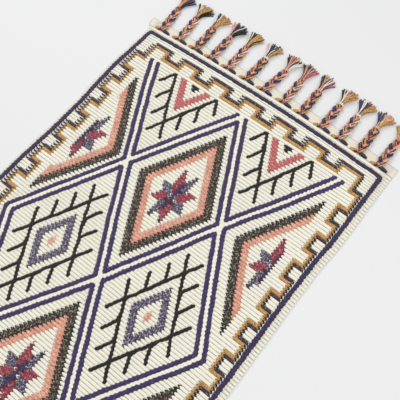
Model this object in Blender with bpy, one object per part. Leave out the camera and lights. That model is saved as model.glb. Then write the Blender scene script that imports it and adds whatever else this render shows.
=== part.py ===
"""A flatwoven wool kilim rug lying flat on the floor, with thirteen braided tassels at each end.

Metres, +Z up. X runs across the rug and Y along it, and the origin is under its middle, on the floor.
The rug is one solid: thick ribs run across it from selvedge to selvedge, and a flat hem band closes
each end. A tassel is one solid too: two legs on the hem band, a plait that runs out over the band's
edge and down to the floor, a wrapped tie, and a brush of locks that are fused only at the tie.
"""

import math

import bmesh
import bpy

# The woven cloth. The weaver beat the ribs closer and closer from the near end on, up to a rib past
# the middle; a rib is numbered from the middle crossing of the lattice, upwards to the near end.
MIDDLE_PITCH = 0.013248
PITCH_GROWTH = 0.00001486
STEADY_FROM_RIB = -31
RIBS_EACH_WAY = 72
CREST_HEIGHT = 0.0090
VALLEY_HEIGHT = 0.0066
CREST_START, CREST_END = 0.28, 0.72
LEFT_HALF = 0.588
RIGHT_HALF = 0.607
LEFT_SELVEDGE = 0.012
RIGHT_SELVEDGE = 0.022
SELVEDGE_DROP = 0.0022
GRID_COLUMNS = 4

# The flat hem band past the last rib
HEM_DEPTH = 0.0455
HEM_HEIGHT = 0.0050
HEM_EDGE_HEIGHT = 0.0036
HEM_ROUNDING = 0.004
HEM_CORNER_HALF = 0.611
HEM_CORNER_DEPTH = 0.060

# How far the handmade cloth strays from a rectangle. The ends bow outwards: their corners lag
# behind the middle, from the first rib of the border on.
BOW_STARTS = 0.818
BOW_FULL = 0.933
BOW_LEFT = 0.015
BOW_RIGHT = 0.022
# along the rug, how far the left selvedge stands out, how far the right one does
SELVEDGE_WAVE = (
    (-0.93, 0.0000, 0.0000),
    (-0.60, -0.0030, 0.0030),
    (-0.30, 0.0030, -0.0020),
    (-0.06, 0.0010, 0.0035),
    (0.12, 0.0000, 0.0000),
    (0.32, -0.0057, -0.0040),
    (0.46, -0.0057, -0.0040),
    (0.61, 0.0036, 0.0030),
    (0.70, 0.0075, 0.0020),
    (0.82, 0.0026, 0.0000),
    (0.93, 0.0000, 0.0000),
)

# The tassels, each drawn with its root at the origin and running out along +Y
GAP = 0.0003
ROOT_PAST_RIBS = 0.0095
ROOT_PITCH = 0.0896
FIRST_ROOT = -0.5332
PLAIT_HALF = 0.0170
PLAIT_HEIGHT = 0.0210
PLAIT_STARTS = 0.016
PLAIT_ENDS = 0.124
PLAIT_STEPS = 10
LOBE_SWELLS = 1.08
LOBE_DIPS = 0.80
DROP_STARTS = 0.046
DROP_LENGTH = 0.040
# how far out, half width and height of the two flattened legs at the root, and of the wrapped tie
LEG_SECTIONS = (
    (-0.006, 0.0304, 0.0065),
    (-0.002, 0.0380, 0.0117),
    (0.005, 0.0380, 0.0130),
    (0.011, 0.0209, 0.0175),
)
TIE_SECTION = (0.133, 0.0120, 0.0165)
# share of the half width and of the height at each point of a section: flat below, two lobes above
SECTION_OUTLINE = (
    (-0.70, 0.00),
    (0.70, 0.00),
    (1.00, 0.45),
    (0.52, 1.00),
    (0.00, 0.80),
    (-0.52, 1.00),
    (-1.00, 0.45),
)

# The brush past the tie
BRUSH_STARTS = 0.142
BRUSH_LENGTH = 0.082
BRUSH_HALF = 0.0150
BRUSH_ROOT_HEIGHT = 0.0105
LOCKS = 6
LOCK_UNEVEN = 0.12
LOCK_TURN = 2.4
# share of the length, pitch across, width and height at each step of a lock
LOCK_STEPS = (
    (0.45, 0.0078, 0.0068, 0.0105),
    (1.00, 0.0112, 0.0052, 0.0065),
)

# how far off the even pitch it stands, how far its plait and then its brush lean across, its spread
TASSEL_ROWS = (
    (0.000, -0.020, 0.010, 1.00),
    (0.001, -0.015, 0.012, 1.10),
    (-0.002, -0.010, 0.012, 0.90),
    (-0.010, -0.004, 0.018, 1.15),
    (-0.012, -0.006, 0.006, 0.90),
    (-0.009, 0.000, 0.004, 0.90),
    (-0.010, 0.015, 0.006, 0.95),
    (-0.004, -0.004, 0.000, 0.90),
    (-0.008, -0.004, 0.006, 0.90),
    (0.003, 0.000, 0.004, 0.95),
    (-0.003, 0.000, 0.010, 1.15),
    (-0.003, -0.002, 0.014, 1.00),
    (0.000, 0.000, -0.012, 0.95),
)

# Wool colours, linear: the weave's mean, and the mixed tassel yarn's
WEAVE_COLOUR = (0.42, 0.31, 0.26)
TASSEL_COLOUR = (0.36, 0.20, 0.10)
WOOL_ROUGHNESS = 0.95


def clear_scene():
    for obj in list(bpy.data.objects):
        bpy.data.objects.remove(obj, do_unlink=True)


def wool(name, colour):
    """A dull, non-metallic dyed wool."""
    material = bpy.data.materials.new(name)
    material.use_nodes = True
    shader = material.node_tree.nodes["Principled BSDF"]
    shader.inputs["Base Color"].default_value = (*colour, 1.0)
    shader.inputs["Roughness"].default_value = WOOL_ROUGHNESS
    shader.inputs["Metallic"].default_value = 0.0
    return material


def smooth_step(value):
    value = min(1.0, max(0.0, value))
    return value * value * (3.0 - 2.0 * value)


def read_wave(along, column):
    """The selvedge's stray at this place along the rug, eased between the rows of the table."""
    for low, high in zip(SELVEDGE_WAVE, SELVEDGE_WAVE[1:]):
        if along <= high[0]:
            share = smooth_step((along - low[0]) / (high[0] - low[0]))
            return low[column] + share * (high[column] - low[column])
    return SELVEDGE_WAVE[-1][column]


def bow(across):
    """How far the end's edge lags at this place across the rug."""
    if across < 0.0:
        return BOW_LEFT * (across / LEFT_HALF) ** 2
    return BOW_RIGHT * (across / RIGHT_HALF) ** 2


def handmade(across, along):
    """Moves a point of the straight rug to where it lies on the uneven one."""
    if across < 0.0:
        moved_x = across * (1.0 + read_wave(along, 1) / LEFT_HALF)
    else:
        moved_x = across * (1.0 + read_wave(along, 2) / RIGHT_HALF)
    share = smooth_step((abs(along) - BOW_STARTS) / (BOW_FULL - BOW_STARTS))
    return moved_x, along - math.copysign(bow(across) * share, along)


def place_of_rib(rib):
    """How far along from the middle crossing this rib starts; part ribs count too."""
    steady = min(0.0, rib - STEADY_FROM_RIB)
    rib = max(rib, STEADY_FROM_RIB)
    last_pitch = MIDDLE_PITCH + PITCH_GROWTH * STEADY_FROM_RIB
    return MIDDLE_PITCH * rib + 0.5 * PITCH_GROWTH * rib * rib + last_pitch * steady


NEAR_END = place_of_rib(RIBS_EACH_WAY)
FAR_END = place_of_rib(-RIBS_EACH_WAY)
RIBS_HALF = 0.5 * (NEAR_END - FAR_END)


def along_of_rib(rib):
    """The same place measured from the middle of the rug."""
    return place_of_rib(rib) - 0.5 * (NEAR_END + FAR_END)


def row_heights():
    """(along, height) of each line of points, from the far hem's edge over the ribs to the near one's."""
    hem = (
        (HEM_DEPTH, HEM_EDGE_HEIGHT),
        (HEM_DEPTH - HEM_ROUNDING, HEM_HEIGHT),
        (0.0, HEM_HEIGHT),
    )
    rows = [(-RIBS_HALF - past, height) for past, height in hem]
    for rib in range(-RIBS_EACH_WAY, RIBS_EACH_WAY):
        if rib > -RIBS_EACH_WAY:
            rows.append((along_of_rib(rib), VALLEY_HEIGHT))
        rows.append((along_of_rib(rib + CREST_START), CREST_HEIGHT))
        rows.append((along_of_rib(rib + CREST_END), CREST_HEIGHT))
    return rows + [(RIBS_HALF + past, height) for past, height in reversed(hem)]


def columns_across():
    """Places across the rug of the lines of points, both selvedges included."""
    inner_left = -LEFT_HALF + LEFT_SELVEDGE
    inner_right = RIGHT_HALF - RIGHT_SELVEDGE
    step = (inner_right - inner_left) / GRID_COLUMNS
    return (
        [-LEFT_HALF]
        + [inner_left + step * i for i in range(GRID_COLUMNS + 1)]
        + [RIGHT_HALF]
    )


def corner_reach(half, along):
    """How much the hem band's corner sticks out past the selvedge here."""
    hem_ends = RIBS_HALF + HEM_DEPTH
    share = smooth_step((abs(along) - hem_ends + HEM_CORNER_DEPTH) / (0.5 * HEM_CORNER_DEPTH))
    return (HEM_CORNER_HALF - half) * share


def build_rug(collection, material):
    """A grid raised in ribs, its rim drawn down to the floor and closed with one flat underside."""
    rows = row_heights()
    columns = columns_across()
    bm = bmesh.new()
    bmesh.ops.create_grid(bm, x_segments=len(columns) - 1, y_segments=len(rows) - 1, size=0.5)
    for vertex in bm.verts:
        column = round((vertex.co.x + 0.5) * (len(columns) - 1))
        along, height = rows[round((vertex.co.y + 0.5) * (len(rows) - 1))]
        across = columns[column]
        x, y = handmade(across, along)
        if column == 0:
            x -= corner_reach(LEFT_HALF, along)
            height -= SELVEDGE_DROP
        elif column == len(columns) - 1:
            x += corner_reach(RIGHT_HALF, along)
            height -= SELVEDGE_DROP
        vertex.co = (x, y, height)
    rim = [edge for edge in bm.edges if edge.is_boundary]
    for item in bmesh.ops.extrude_edge_only(bm, edges=rim)["geom"]:
        if isinstance(item, bmesh.types.BMVert):
            item.co.z = 0.0
    underside = [edge for edge in bm.edges if edge.is_boundary]
    bmesh.ops.contextual_create(bm, geom=underside)
    collection.objects.link(bpy.data.objects.new("rug", closed_mesh(bm, "rug", material)))


def closed_mesh(bm, name, material):
    """Turns the faces outwards and makes the mesh."""
    bmesh.ops.recalc_face_normals(bm, faces=bm.faces)
    mesh = bpy.data.meshes.new(name)
    bm.to_mesh(mesh)
    bm.free()
    mesh.materials.append(material)
    return mesh


def underside_height(out):
    """The height of a tassel's underside: on the hem band at its root, on the floor past the edge."""
    on_hem = HEM_HEIGHT + GAP
    return on_hem * (1.0 - smooth_step((out - DROP_STARTS) / DROP_LENGTH))


def tassel_sections():
    """(out, half width, height, left lobe, right lobe) from the root to the tie. The strands of the
    plait swell up by turns on the left and on the right."""
    sections = [(*section, 1.0, 1.0) for section in LEG_SECTIONS]
    for step in range(PLAIT_STEPS + 1):
        out = PLAIT_STARTS + (PLAIT_ENDS - PLAIT_STARTS) * step / PLAIT_STEPS
        lobes = (LOBE_SWELLS, LOBE_DIPS) if step % 2 else (LOBE_DIPS, LOBE_SWELLS)
        sections.append((out, PLAIT_HALF, PLAIT_HEIGHT, *lobes))
    sections.append((*TIE_SECTION, 1.0, 1.0))
    return sections


def shape_section(vertices, place, section, lean):
    """Lays one ring of the tassel's points out in its section."""
    out, half, height, left, right = section
    middle = lean * max(0.0, out) / BRUSH_STARTS
    for vertex in vertices:
        across, up = SECTION_OUTLINE[vertex[place]]
        lobe = 1.0
        if up > 0.0 and across != 0.0:
            lobe = right if across > 0.0 else left
        rise = height * up * min(1.0, lobe)
        vertex.co = (middle + half * across * lobe, out, underside_height(out) + rise)


def draw_plait(bm, lean):
    """Draws a seven-sided face out of the root, section by section; returns the edges of its open end."""
    place = bm.verts.layers.int.new("place")
    sections = tassel_sections()
    ring = bmesh.ops.create_circle(bm, cap_ends=True, segments=len(SECTION_OUTLINE), radius=1.0)["verts"]
    for number, vertex in enumerate(ring):
        vertex[place] = number
    shape_section(ring, place, sections[0], lean)
    root = face = ring[0].link_faces[0]
    for section in sections[1:]:
        drawn = bmesh.ops.extrude_face_region(bm, geom=[face])["geom"]
        if face is not root:
            bmesh.ops.delete(bm, geom=[face], context="FACES_ONLY")
        face = next(item for item in drawn if isinstance(item, bmesh.types.BMFace))
        shape_section(face.verts, place, section, lean)
    edges = list(face.edges)
    bmesh.ops.delete(bm, geom=[face], context="FACES_ONLY")
    return edges


def brush_root(bm, sideways):
    """The upright strip of cells at the tie, one for each lock."""
    grid = bmesh.ops.create_grid(bm, x_segments=LOCKS, y_segments=1, size=0.5)["verts"]
    for vertex in grid:
        across = sideways + 2.0 * BRUSH_HALF * vertex.co.x
        vertex.co = (across, BRUSH_STARTS, BRUSH_ROOT_HEIGHT * (vertex.co.y + 0.5))
    cells = {face for vertex in grid for face in vertex.link_faces}
    return sorted(cells, key=lambda cell: cell.calc_center_median().x)


def grow_lock(bm, cell, index, sideways, bend, spread):
    """Draws one four-sided lock out of its cell in two steps, level on the floor."""
    place = index - 0.5 * (LOCKS - 1)
    length = BRUSH_LENGTH * (1.0 - LOCK_UNEVEN * math.sin(LOCK_TURN * index) ** 2)
    for share, pitch, width, height in LOCK_STEPS:
        cell = bmesh.ops.extrude_discrete_faces(bm, faces=[cell])["faces"][0]
        centre = sideways + bend * share + place * max(pitch * spread, width + 2.0 * GAP)
        middle = cell.calc_center_median()
        for vertex in cell.verts:
            side = 0.5 if vertex.co.x > middle.x else -0.5
            top = height if vertex.co.z > middle.z else 0.0
            vertex.co = (centre + side * width, BRUSH_STARTS + length * share, top)


def tassel_mesh(name, lean, bend, spread, material):
    """One tassel as a mesh with its root at the origin."""
    bm = bmesh.new()
    tie_edges = draw_plait(bm, lean)
    cells = brush_root(bm, lean)
    rim = [edge for cell in cells for edge in cell.edges if edge.is_boundary]
    bmesh.ops.bridge_loops(bm, edges=tie_edges + rim)
    for index, cell in enumerate(cells):
        grow_lock(bm, cell, index, lean, bend, spread)
    return closed_mesh(bm, name, material)


def build_tassels(collection, material):
    """Thirteen tassels on the near end, and the same thirteen turned half round on the far end."""
    for number, (stray, lean, bend, spread) in enumerate(TASSEL_ROWS):
        across = FIRST_ROOT + number * ROOT_PITCH + stray
        mesh = tassel_mesh(f"tassel_{number + 1:02d}", lean, bend, spread, material)
        for end, direction in (("near", 1.0), ("far", -1.0)):
            obj = bpy.data.objects.new(f"tassel_{end}_{number + 1:02d}", mesh)
            x = direction * across
            obj.location = (x, direction * (RIBS_HALF + ROOT_PAST_RIBS - bow(x)), 0.0)
            if direction < 0.0:
                obj.rotation_euler = (0.0, 0.0, math.pi)
            collection.objects.link(obj)


def main():
    clear_scene()
    collection = bpy.data.collections.new("kilim_rug")
    bpy.context.scene.collection.children.link(collection)
    build_rug(collection, wool("wool weave", WEAVE_COLOUR))
    build_tassels(collection, wool("mixed tassel yarn", TASSEL_COLOUR))


main()
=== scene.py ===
import math
import random

import bmesh
import bpy
from mathutils import Matrix, Vector, noise


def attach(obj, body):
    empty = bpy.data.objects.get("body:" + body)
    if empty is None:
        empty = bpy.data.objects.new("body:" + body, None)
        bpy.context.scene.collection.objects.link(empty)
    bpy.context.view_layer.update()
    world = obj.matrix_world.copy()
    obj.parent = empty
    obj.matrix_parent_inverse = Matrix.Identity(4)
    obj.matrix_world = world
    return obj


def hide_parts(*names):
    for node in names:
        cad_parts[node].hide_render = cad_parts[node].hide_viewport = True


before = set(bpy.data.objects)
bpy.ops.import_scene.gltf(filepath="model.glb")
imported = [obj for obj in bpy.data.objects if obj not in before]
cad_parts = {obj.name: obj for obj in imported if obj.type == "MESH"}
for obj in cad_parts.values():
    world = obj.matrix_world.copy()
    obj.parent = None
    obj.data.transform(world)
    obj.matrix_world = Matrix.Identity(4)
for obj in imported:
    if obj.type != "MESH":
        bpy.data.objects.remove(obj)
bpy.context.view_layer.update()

# The weave's ribs: a rib is numbered from the middle crossing of the lattice, upwards to the near
# end. The weaver beat them closer and closer from the near end on, up to a rib past the middle.
MIDDLE_PITCH = 0.013248
PITCH_GROWTH = 0.00001486
STEADY_FROM_RIB = -31
LAST_RIB = 72
LEFT_EDGE = -0.588
RIGHT_EDGE = 0.607
HEM_DEPTH = 0.0455
HEM_HEIGHT = 0.0050
HEM_CORNER_HALF = 0.611
HEM_CORNER_DEPTH = 0.060

# How the handmade cloth strays from a rectangle: its ends bow and its selvedges wave
BOW_STARTS = 0.818
BOW_FULL = 0.933
BOW_LEFT = 0.015
BOW_RIGHT = 0.022
# along the rug, how far the left selvedge stands out, how far the right one does
SELVEDGE_WAVE = (
    (-0.93, 0.0000, 0.0000),
    (-0.60, -0.0030, 0.0030),
    (-0.30, 0.0030, -0.0020),
    (-0.06, 0.0010, 0.0035),
    (0.12, 0.0000, 0.0000),
    (0.32, -0.0057, -0.0040),
    (0.46, -0.0057, -0.0040),
    (0.61, 0.0036, 0.0030),
    (0.70, 0.0075, 0.0020),
    (0.82, 0.0026, 0.0000),
    (0.93, 0.0000, 0.0000),
)

# Where a rib is cut across to be drawn: place within the rib, height, how far down in the groove, which
# sets how much painted shade it gets there, how far to the right the ends of its runs lie there, and
# whether the fret's teeth show below it
RIB_LINES = (
    (0.965, 0.0064, 1.0, 0.0044, False),
    (0.890, 0.0086, 0.0, 0.0038, False),
    (0.640, 0.0093, 0.0, -0.0032, True),
    (0.360, 0.0093, 0.0, -0.0030, True),
    (0.110, 0.0086, 0.0, 0.0038, False),
    (0.035, 0.0064, 1.0, 0.0046, False),
)
GROOVE_HEIGHT = 0.0064
CREST_HEIGHT = 0.0093
GROUND_HEIGHT = 0.0050
# inwards from the hem's outer edge, height, and how much painted darkening its edge gets: partly
# painted shade under the folded edge, partly its grey edge thread
HEM_LINES = (
    (0.0000, 0.0030, 1.0),
    (0.0018, 0.0046, 1.0),
    (0.0036, 0.0052, 0.0),
    (0.0200, 0.0047, 0.0),
    (0.0400, 0.0050, 0.0),
)

# Where a strip is cut across: in small steps at its selvedges, and past their margin at an even step
# and at the ends of its runs
COLUMN_STEP = 0.060
CUT_SPACING = 0.006
SNAPS_PER_METRE = 4000.0
SHORTEST_RUN = 0.0012
EDGE_STEPS = (0.0, 0.003, 0.009, 0.022)
EDGE_CUTS = [LEFT_EDGE + step for step in EDGE_STEPS] + [RIGHT_EDGE - step for step in EDGE_STEPS]
EDGE_MARGIN = 0.0275

# How the cloth ends at its selvedges: the share of its height there, how far in it is full, how far
# its ribs bulge out, and how far in a hem's corner is drawn out
EDGE_SHARE = 0.42
EDGE_ROUNDING = 0.009
EDGE_BULGE = 0.0020
CORNER_BLEND = 0.03
# the handloom's wobble, and its waves a metre across the rug and along it
WOBBLE = 0.0016
WOBBLE_WAVES = (5.0, 7.0)

# How much painted shade the yarn gets at the ends of a run, where it dives into the cloth, and how much
# darker it is where it wraps the selvedge's cords
SHADED_END_LENGTH = 0.0080
END_SHADE_STRENGTH = 2.2
SHADED_ENDS = 0.3
SHORTEST_SHADED_RUN = 2.2 * SHADED_END_LENGTH
WRAP_STARTS = 0.010
WRAP_ENDS = 0.023
WRAP_DARKNESS = 0.30

# The UV map: the middles of the back's and the top's plan, and its size for a metre of cloth
MAP_MIDDLES = (0.75, 0.25)
MAP_SCALE = (0.38, 0.40)

# The yarns, in the order of their material slots: how much painted shade the ends of a run get, and how
# much its grooves get
IVORY, SALMON, ROSE, OCHRE, GREY_NAVY, BURGUNDY, NAVY, CHARCOAL, BLACK, HEM, INK, DEEP_NAVY = range(12)
PAINTED_END_SHADE = (0.0, 0.15, 0.35, 0.10, 0.5, 0.4, 0.1, 0.9, 0.9, 0.0, 0.6, 0.0)
PAINTED_GROOVE_SHADE = (1.0, 0.85, 0.70, 0.60, 0.35, 0.45, 0.35, 0.35, 0.35, 1.0, 0.35, 0.35)

# The lattice's crossings: how far along in ribs, and where across
FIELD_RIBS = 62
STAR_RIB = 31.2
LATTICE_ROWS = (
    (FIELD_RIBS, (-0.452, 0.000, 0.460)),
    (STAR_RIB, (-0.2345, 0.225)),
    (0.0, (-0.453, 0.004, 0.460)),
    (-STAR_RIB, (-0.236, 0.225)),
    (-FIELD_RIBS, (-0.452, 0.000, 0.460)),
)
LINE_INSET = 0.0168
LINE_INSET_RIBS = 2.32

# The stars. Each row's sign and its middle star; then the stars that the field's sides cut, as their
# middles and the lowest and highest place across that they keep
STAR_ROWS = ((1.0, 0.0057), (-1.0, 0.0110))
CUT_STARS = ((-0.4495, -0.4560, 1.0), (0.4670, -1.0, 0.4700))
# its diamonds from the outermost in: yarn, half width, half height in ribs
STAR_DIAMONDS = ((CHARCOAL, 0.1740, 23.4), (SALMON, 0.1380, 18.8), (IVORY, 0.1085, 14.7))

# The star's first four petals about its middle, in metres across and ribs along
STAR_DROP = 0.9
PETALS = (
    (BURGUNDY, (
        (0.000, 0.3), (0.0055, 0.6), (0.0055, 5.6), (0.000, 6.1), (-0.009, 6.3), (-0.014, 7.3),
        (-0.024, 8.9), (-0.032, 8.2), (-0.033, 3.2), (-0.025, 2.0), (-0.012, 0.6),
    )),
    (GREY_NAVY, (
        (0.0055, 0.5), (0.0055, 5.9), (0.0145, 6.8), (0.017, 7.8), (0.027, 8.8), (0.034, 8.2),
        (0.031, 3.0), (0.015, 1.5),
    )),
    (BURGUNDY, (
        (0.008, 0.4), (0.017, 1.8), (0.034, 3.1), (0.050, 3.6), (0.080, 3.5), (0.062, 2.0),
        (0.053, 0.6), (0.050, -0.2), (0.012, -0.2),
    )),
    (GREY_NAVY, (
        (0.012, -0.2), (0.050, -0.2), (0.060, -0.7), (0.065, -1.7), (0.074, -2.9), (0.028, -2.9),
        (0.018, -0.8),
    )),
)
STAR_HEART = ((-0.003, 4.5), (0.005, 4.0), (0.009, 0.8), (0.003, -4.5), (-0.005, -4.0), (-0.009, -0.8))

# The diamond in a ladder: the half width and half height in ribs of its ring, hollow and spot
WHOLE_HEART = ((0.0745, 10.1), (0.0425, 6.1), (0.0150, 1.9))
HALF_HEART = ((0.0785, 10.6), (0.0485, 6.3), (0.0235, 2.6))

# The key fret. Across the ends: the middles of the boxes. Up the sides: the ribs in the middles of
# the boxes, where the fret runs inwards, and in its corners
END_BOXES = (-0.3895, -0.2350, -0.0785, 0.0775, 0.2325, 0.3875)
SIDE_BOXES = (65, 63, 52, 42, 32, 22, 12, 2, -8, -19, -31, -42, -53, -64, -66)
FRET_TOP_RIB = 67
# levels of an end's fret, counted in ribs from its outermost: a box's hollow, its dark, the whole
HOLLOW_LEVELS, DARK_LEVELS, FRET_LEVELS = 3, 4, 5
# out from a box's middle: where its dark teeth start, its dark leg, its ochre leg, and where that ends
BOX_REACH = (0.0180, 0.0300, 0.0375, 0.0510)
# each side's outline, then the same four places of the outer and the inner line, in from the outline
FRET_SIDES = (
    (-1, -0.5688, (0.0118, 0.0238, 0.0300, 0.0395), (0.0508, 0.0640, 0.0700, 0.0800)),
    (1, 0.5741, (0.0091, 0.0151, 0.0200, 0.0301), (0.0430, 0.0500, 0.0560, 0.0680)),
)
OUTLINE_RIB = 70.07
CORNER_STEP = 0.0080

# The lines worked over the ribs: their widths, and how far they stand above the ribs' crests
LATTICE_WIDTH = 0.0178
OUTLINE_WIDTH = 0.0182
LADDER_WIDTH = 0.0132
STITCH_HEIGHT = 0.0022
FILLING_HEIGHT = 0.0008
FILLING_CROSSING = 0.0002
# their stitches' section: places across it, and the share of the full height there
STITCH_SECTION = (
    (-1.0, 0.0), (-1.0, 0.70), (-0.82, 0.88), (-0.35, 1.0),
    (0.35, 1.0), (0.82, 0.88), (1.0, 0.70), (1.0, 0.0),
)
STITCH_STEP = 0.0030
# how far a stitch rises on each rib and slants over it, and the swell below which it is in shade
STITCH_RISE = 0.0006
STITCH_SLANT = 1.3
SHADED_SWELL = 0.35
# how ragged the edges are; the waves a metre and own seed of the edges, the long and the short stray
RAGGEDNESS = 0.26
EDGE_WAVES = (90.0, 0.0)
LONG_WAVES = (14.0, 9.0)
SHORT_WAVES = (45.0, 5.0)
# the first seeds of the lines
FILLING_SEED, OUTLINE_SEED, LADDER_SEED = 20, 40, 50
# an open line's size at its end, and what it gains with each step
END_SIZE, END_GAIN = 0.6, 0.3

# The ladders: a rhombus of four long strokes that cross at its corners, and eight short rungs
LADDER_HALF = 0.106
LADDER_RIBS = 15.0
RUNG_RIBS = 5.0
RUNG_ACROSS = 0.031
RUNG_PLACES = (5.0, 10.0)
# a rung's foot lies back along its stroke, in ribs, and its knee out from it, in ribs and metres
FOOT_BACK = 1.8
KNEE_RIBS = 0.5
KNEE_ACROSS = 0.003
SHORTEST_STROKE = 0.5
LADDER_MIDDLES = ((-0.2285, 0.0), (0.2325, 0.0))
HALF_LADDER_MIDDLES = (-0.2325, 0.227)

# The tassels: how far off the even pitch each stands, how far its plait and then its brush lean
# across, the brush's spread, its yarns from left to right, and the yarn of its tie
ROOT_PAST_RIBS = 0.0075
ROOT_PITCH = 0.0896
FIRST_ROOT = -0.5332
TASSEL_ROWS = (
    (0.000, -0.020, 0.010, 1.00, "isboooosonnn", "b"),
    (0.001, -0.015, 0.012, 1.05, "kiikonoooooookk", "b"),
    (-0.002, -0.010, 0.012, 0.90, "nikninoooooooo", "r"),
    (-0.010, -0.004, 0.018, 1.10, "sssbnnninkkkkk", "s"),
    (-0.012, -0.006, 0.006, 0.90, "iinkknooooooook", "r"),
    (-0.009, 0.000, 0.004, 0.90, "sinnnniikkoo", "i"),
    (-0.010, 0.015, 0.006, 0.95, "knsbrsoonnii", "s"),
    (-0.004, -0.004, 0.000, 0.90, "kksoonnssbrr", "r"),
    (-0.008, -0.004, 0.006, 0.90, "nkkoosnniibb", "s"),
    (0.003, 0.000, 0.004, 0.95, "kkiirskooooo", "i"),
    (-0.003, 0.000, 0.010, 1.10, "nnniiinnbooooo", "i"),
    (-0.003, -0.002, 0.014, 1.00, "nninkssssoooo", "s"),
    (0.000, 0.000, -0.012, 0.95, "oooooosoobk", "b"),
)
YARN_LETTERS = {"i": IVORY, "s": SALMON, "r": ROSE, "o": OCHRE, "b": BURGUNDY, "n": NAVY, "k": BLACK}

# The plaits: the yarns of the three strands, which the plaits take in turn
PLAITS = (
    ("ooks", "nnkn", "brss"),
    ("skso", "knno", "srbi"),
    ("okoo", "nbkn", "ssrk"),
)
PLAIT_STARTS = 0.003
PLAIT_LENGTH = 0.128
PLAIT_UNDER_TIE = 0.004
PLAIT_STEPS = 46
PLAIT_TURNS = 1.75
PLAIT_SWING = 0.0108
PLAIT_CROSSING = 0.0042
PLAIT_LIFT = 0.0012
# its width at the root, the share of its length in which it opens, where it narrows, and by how much
PLAIT_ROOT_WIDTH = 0.74
PLAIT_OPENS = 0.2
PLAIT_NARROWS_FROM = 0.88
PLAIT_NARROWS = 0.30
YARN_RADIUS = 0.0025
YARN_SPACING = 0.0041
YARN_CROWN = 18.0
YARN_SIDES = 6

# A bundle's legs on the cloth: where each starts and stops, its half width, and its yarns
ROOT_LEGS = (
    ((-0.036, -0.001), (-0.006, 0.002), 0.0045, 0.0031, (OCHRE, OCHRE, OCHRE)),
    ((-0.022, -0.006), (0.002, 0.002), 0.0026, 0.0028, (BLACK, BLACK)),
    ((0.038, -0.001), (0.000, 0.003), 0.0050, 0.0030, (BLACK, NAVY, NAVY, BLACK)),
    ((-0.011, -0.004), (0.001, 0.016), 0.0060, 0.0030, (SALMON, ROSE, ROSE, BURGUNDY)),
)
LEG_STEPS = 8
LEG_SUNK = 0.001
LEG_CROWN = 0.0045
LEG_FLATNESS = 0.6
# where along the swell of a leg its yarns come out of the cloth, and how full the swell is
LEG_OUT = 0.06
LEG_FULLNESS = 0.7

# The tie: its turns of yarn about the neck of a tassel
TIE_AT = 0.136
TIE_STARTS = 0.0055
TIE_TURNS = 3
TIE_PITCH = 0.0034
TIE_SLANT = 0.0012
TIE_STEPS = 16
TIE_HALF = 0.0098
TIE_HALF_HEIGHT = 0.0072
TIE_MIDDLE = 0.0092
TIE_RADIUS = 0.0018

# The brush: loose yarns in layers, how they fan and curl, and how uneven they are
BRUSH_LENGTH = 0.087
BRUSH_SHORTEST = 0.84
BRUSH_LONGEST = 1.02
BRUSH_ROUNDNESS = 0.06
BRUSH_FAN = 0.50
BRUSH_STRAY = 0.05
BRUSH_CURL = 0.35
BRUSH_BEND = 14.0
BRUSH_STEPS = 8
BRUSH_LAYERS = 3
BRUSH_RADIUS = 0.0021
BRUSH_FRAYS = 0.0008
BRUSH_SIDES = 5
# how much sooner than at its tip a yarn's arch comes down, and its turn into the fan is done
ARCH_PACE = 1.3
FAN_PACE = 2.2
LAYER_LOW = 0.0029
LAYER_RISE = 0.0042
LAYER_ARCH = 0.0050
NECK_HALF = 0.0085
NECK_OVERLAP = 0.004
NECK_RISE = 0.0040

# A tassel lies on the hem band at its root and comes down to the floor past the band's edge
REST_GAP = 0.0004
DROP_STARTS = 0.046
DROP_LENGTH = 0.040

# The wool's grain, in millimetres. Its fibres, plies and the turns of its yarn are finer than a view
# of the whole rug shows, so all three are drawn as coarse as they need to be seen.
FIBRE_MM = 2.4
FLECK_MM = 4.35
TURN_MM = 4.2
HEM_TURN_MM = 5.0
# the patches in which the painted shade of the grooves and run ends lies
GROOVE_PATCH_MM = 13.3
HANK_MM = 200.0
# the darkest dye of a hank; where in a noise a fleck fades in, and how much lower for more flecks
WORN = 0.88
FLECK_FADE = (0.64, 0.76)
FLECK_REACH = 0.3

UP = Vector((0.0, 0.0, 1.0))
ALONG = Vector((0.0, 1.0, 0.0))

# The camera: a 59 mm lens about 2.2 m over the rug, rolled a little
CAMERA_AT = (0.8239, -0.3540, 2.2296)
CAMERA_LOOKS_AT = (0.0960, 0.4272, 0.0085)
CAMERA_ROLL = math.radians(-4.7256)
CAMERA_LENS = 59.44
SENSOR_WIDTH = 36.0

# The stage: each light's name, place, aim, size in metres and power in watts
LAMPS = (
    ("window", (-2.8, 1.6, 3.4), (0.2, 0.2, 0.0), 2.5, 74.0),
    ("ceiling", (2.2, 0.0, 4.2), (0.6, 0.3, 0.0), 4.0, 115.0),
)
ROOM_LIGHT = 0.62
FLOOR_SIZE = 14.0
FLOOR_TOP = -0.0002


# Materials

def linear(hex_colour):
    """An sRGB hex value as linear RGBA."""
    channels = [int(hex_colour[i:i + 2], 16) / 255.0 for i in (1, 3, 5)]
    return [c / 12.92 if c <= 0.04045 else ((c + 0.055) / 1.055) ** 2.4 for c in channels] + [1.0]


def add_node(tree, kind, fed=None, **settings):
    """Adds a node with its settings, and links or sets its inputs."""
    made = tree.nodes.new(kind)
    for name, value in settings.items():
        setattr(made, name, value)
    for socket, value in (fed or {}).items():
        if isinstance(value, bpy.types.NodeSocket):
            tree.links.new(value, made.inputs[socket])
        else:
            made.inputs[socket].default_value = value
    return made


def per_metre(grain_mm):
    """The scale of a noise whose grain has this size."""
    return 1000.0 / grain_mm


def wave_scale(period_mm):
    """The scale of a wave whose bands repeat at this size: at a scale of 1 they repeat every 314 mm."""
    return 100.0 * math.pi / period_mm


def empty_material(name):
    material = bpy.data.materials.new(name)
    material.use_nodes = True
    material.node_tree.nodes.clear()
    return material, material.node_tree


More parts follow.
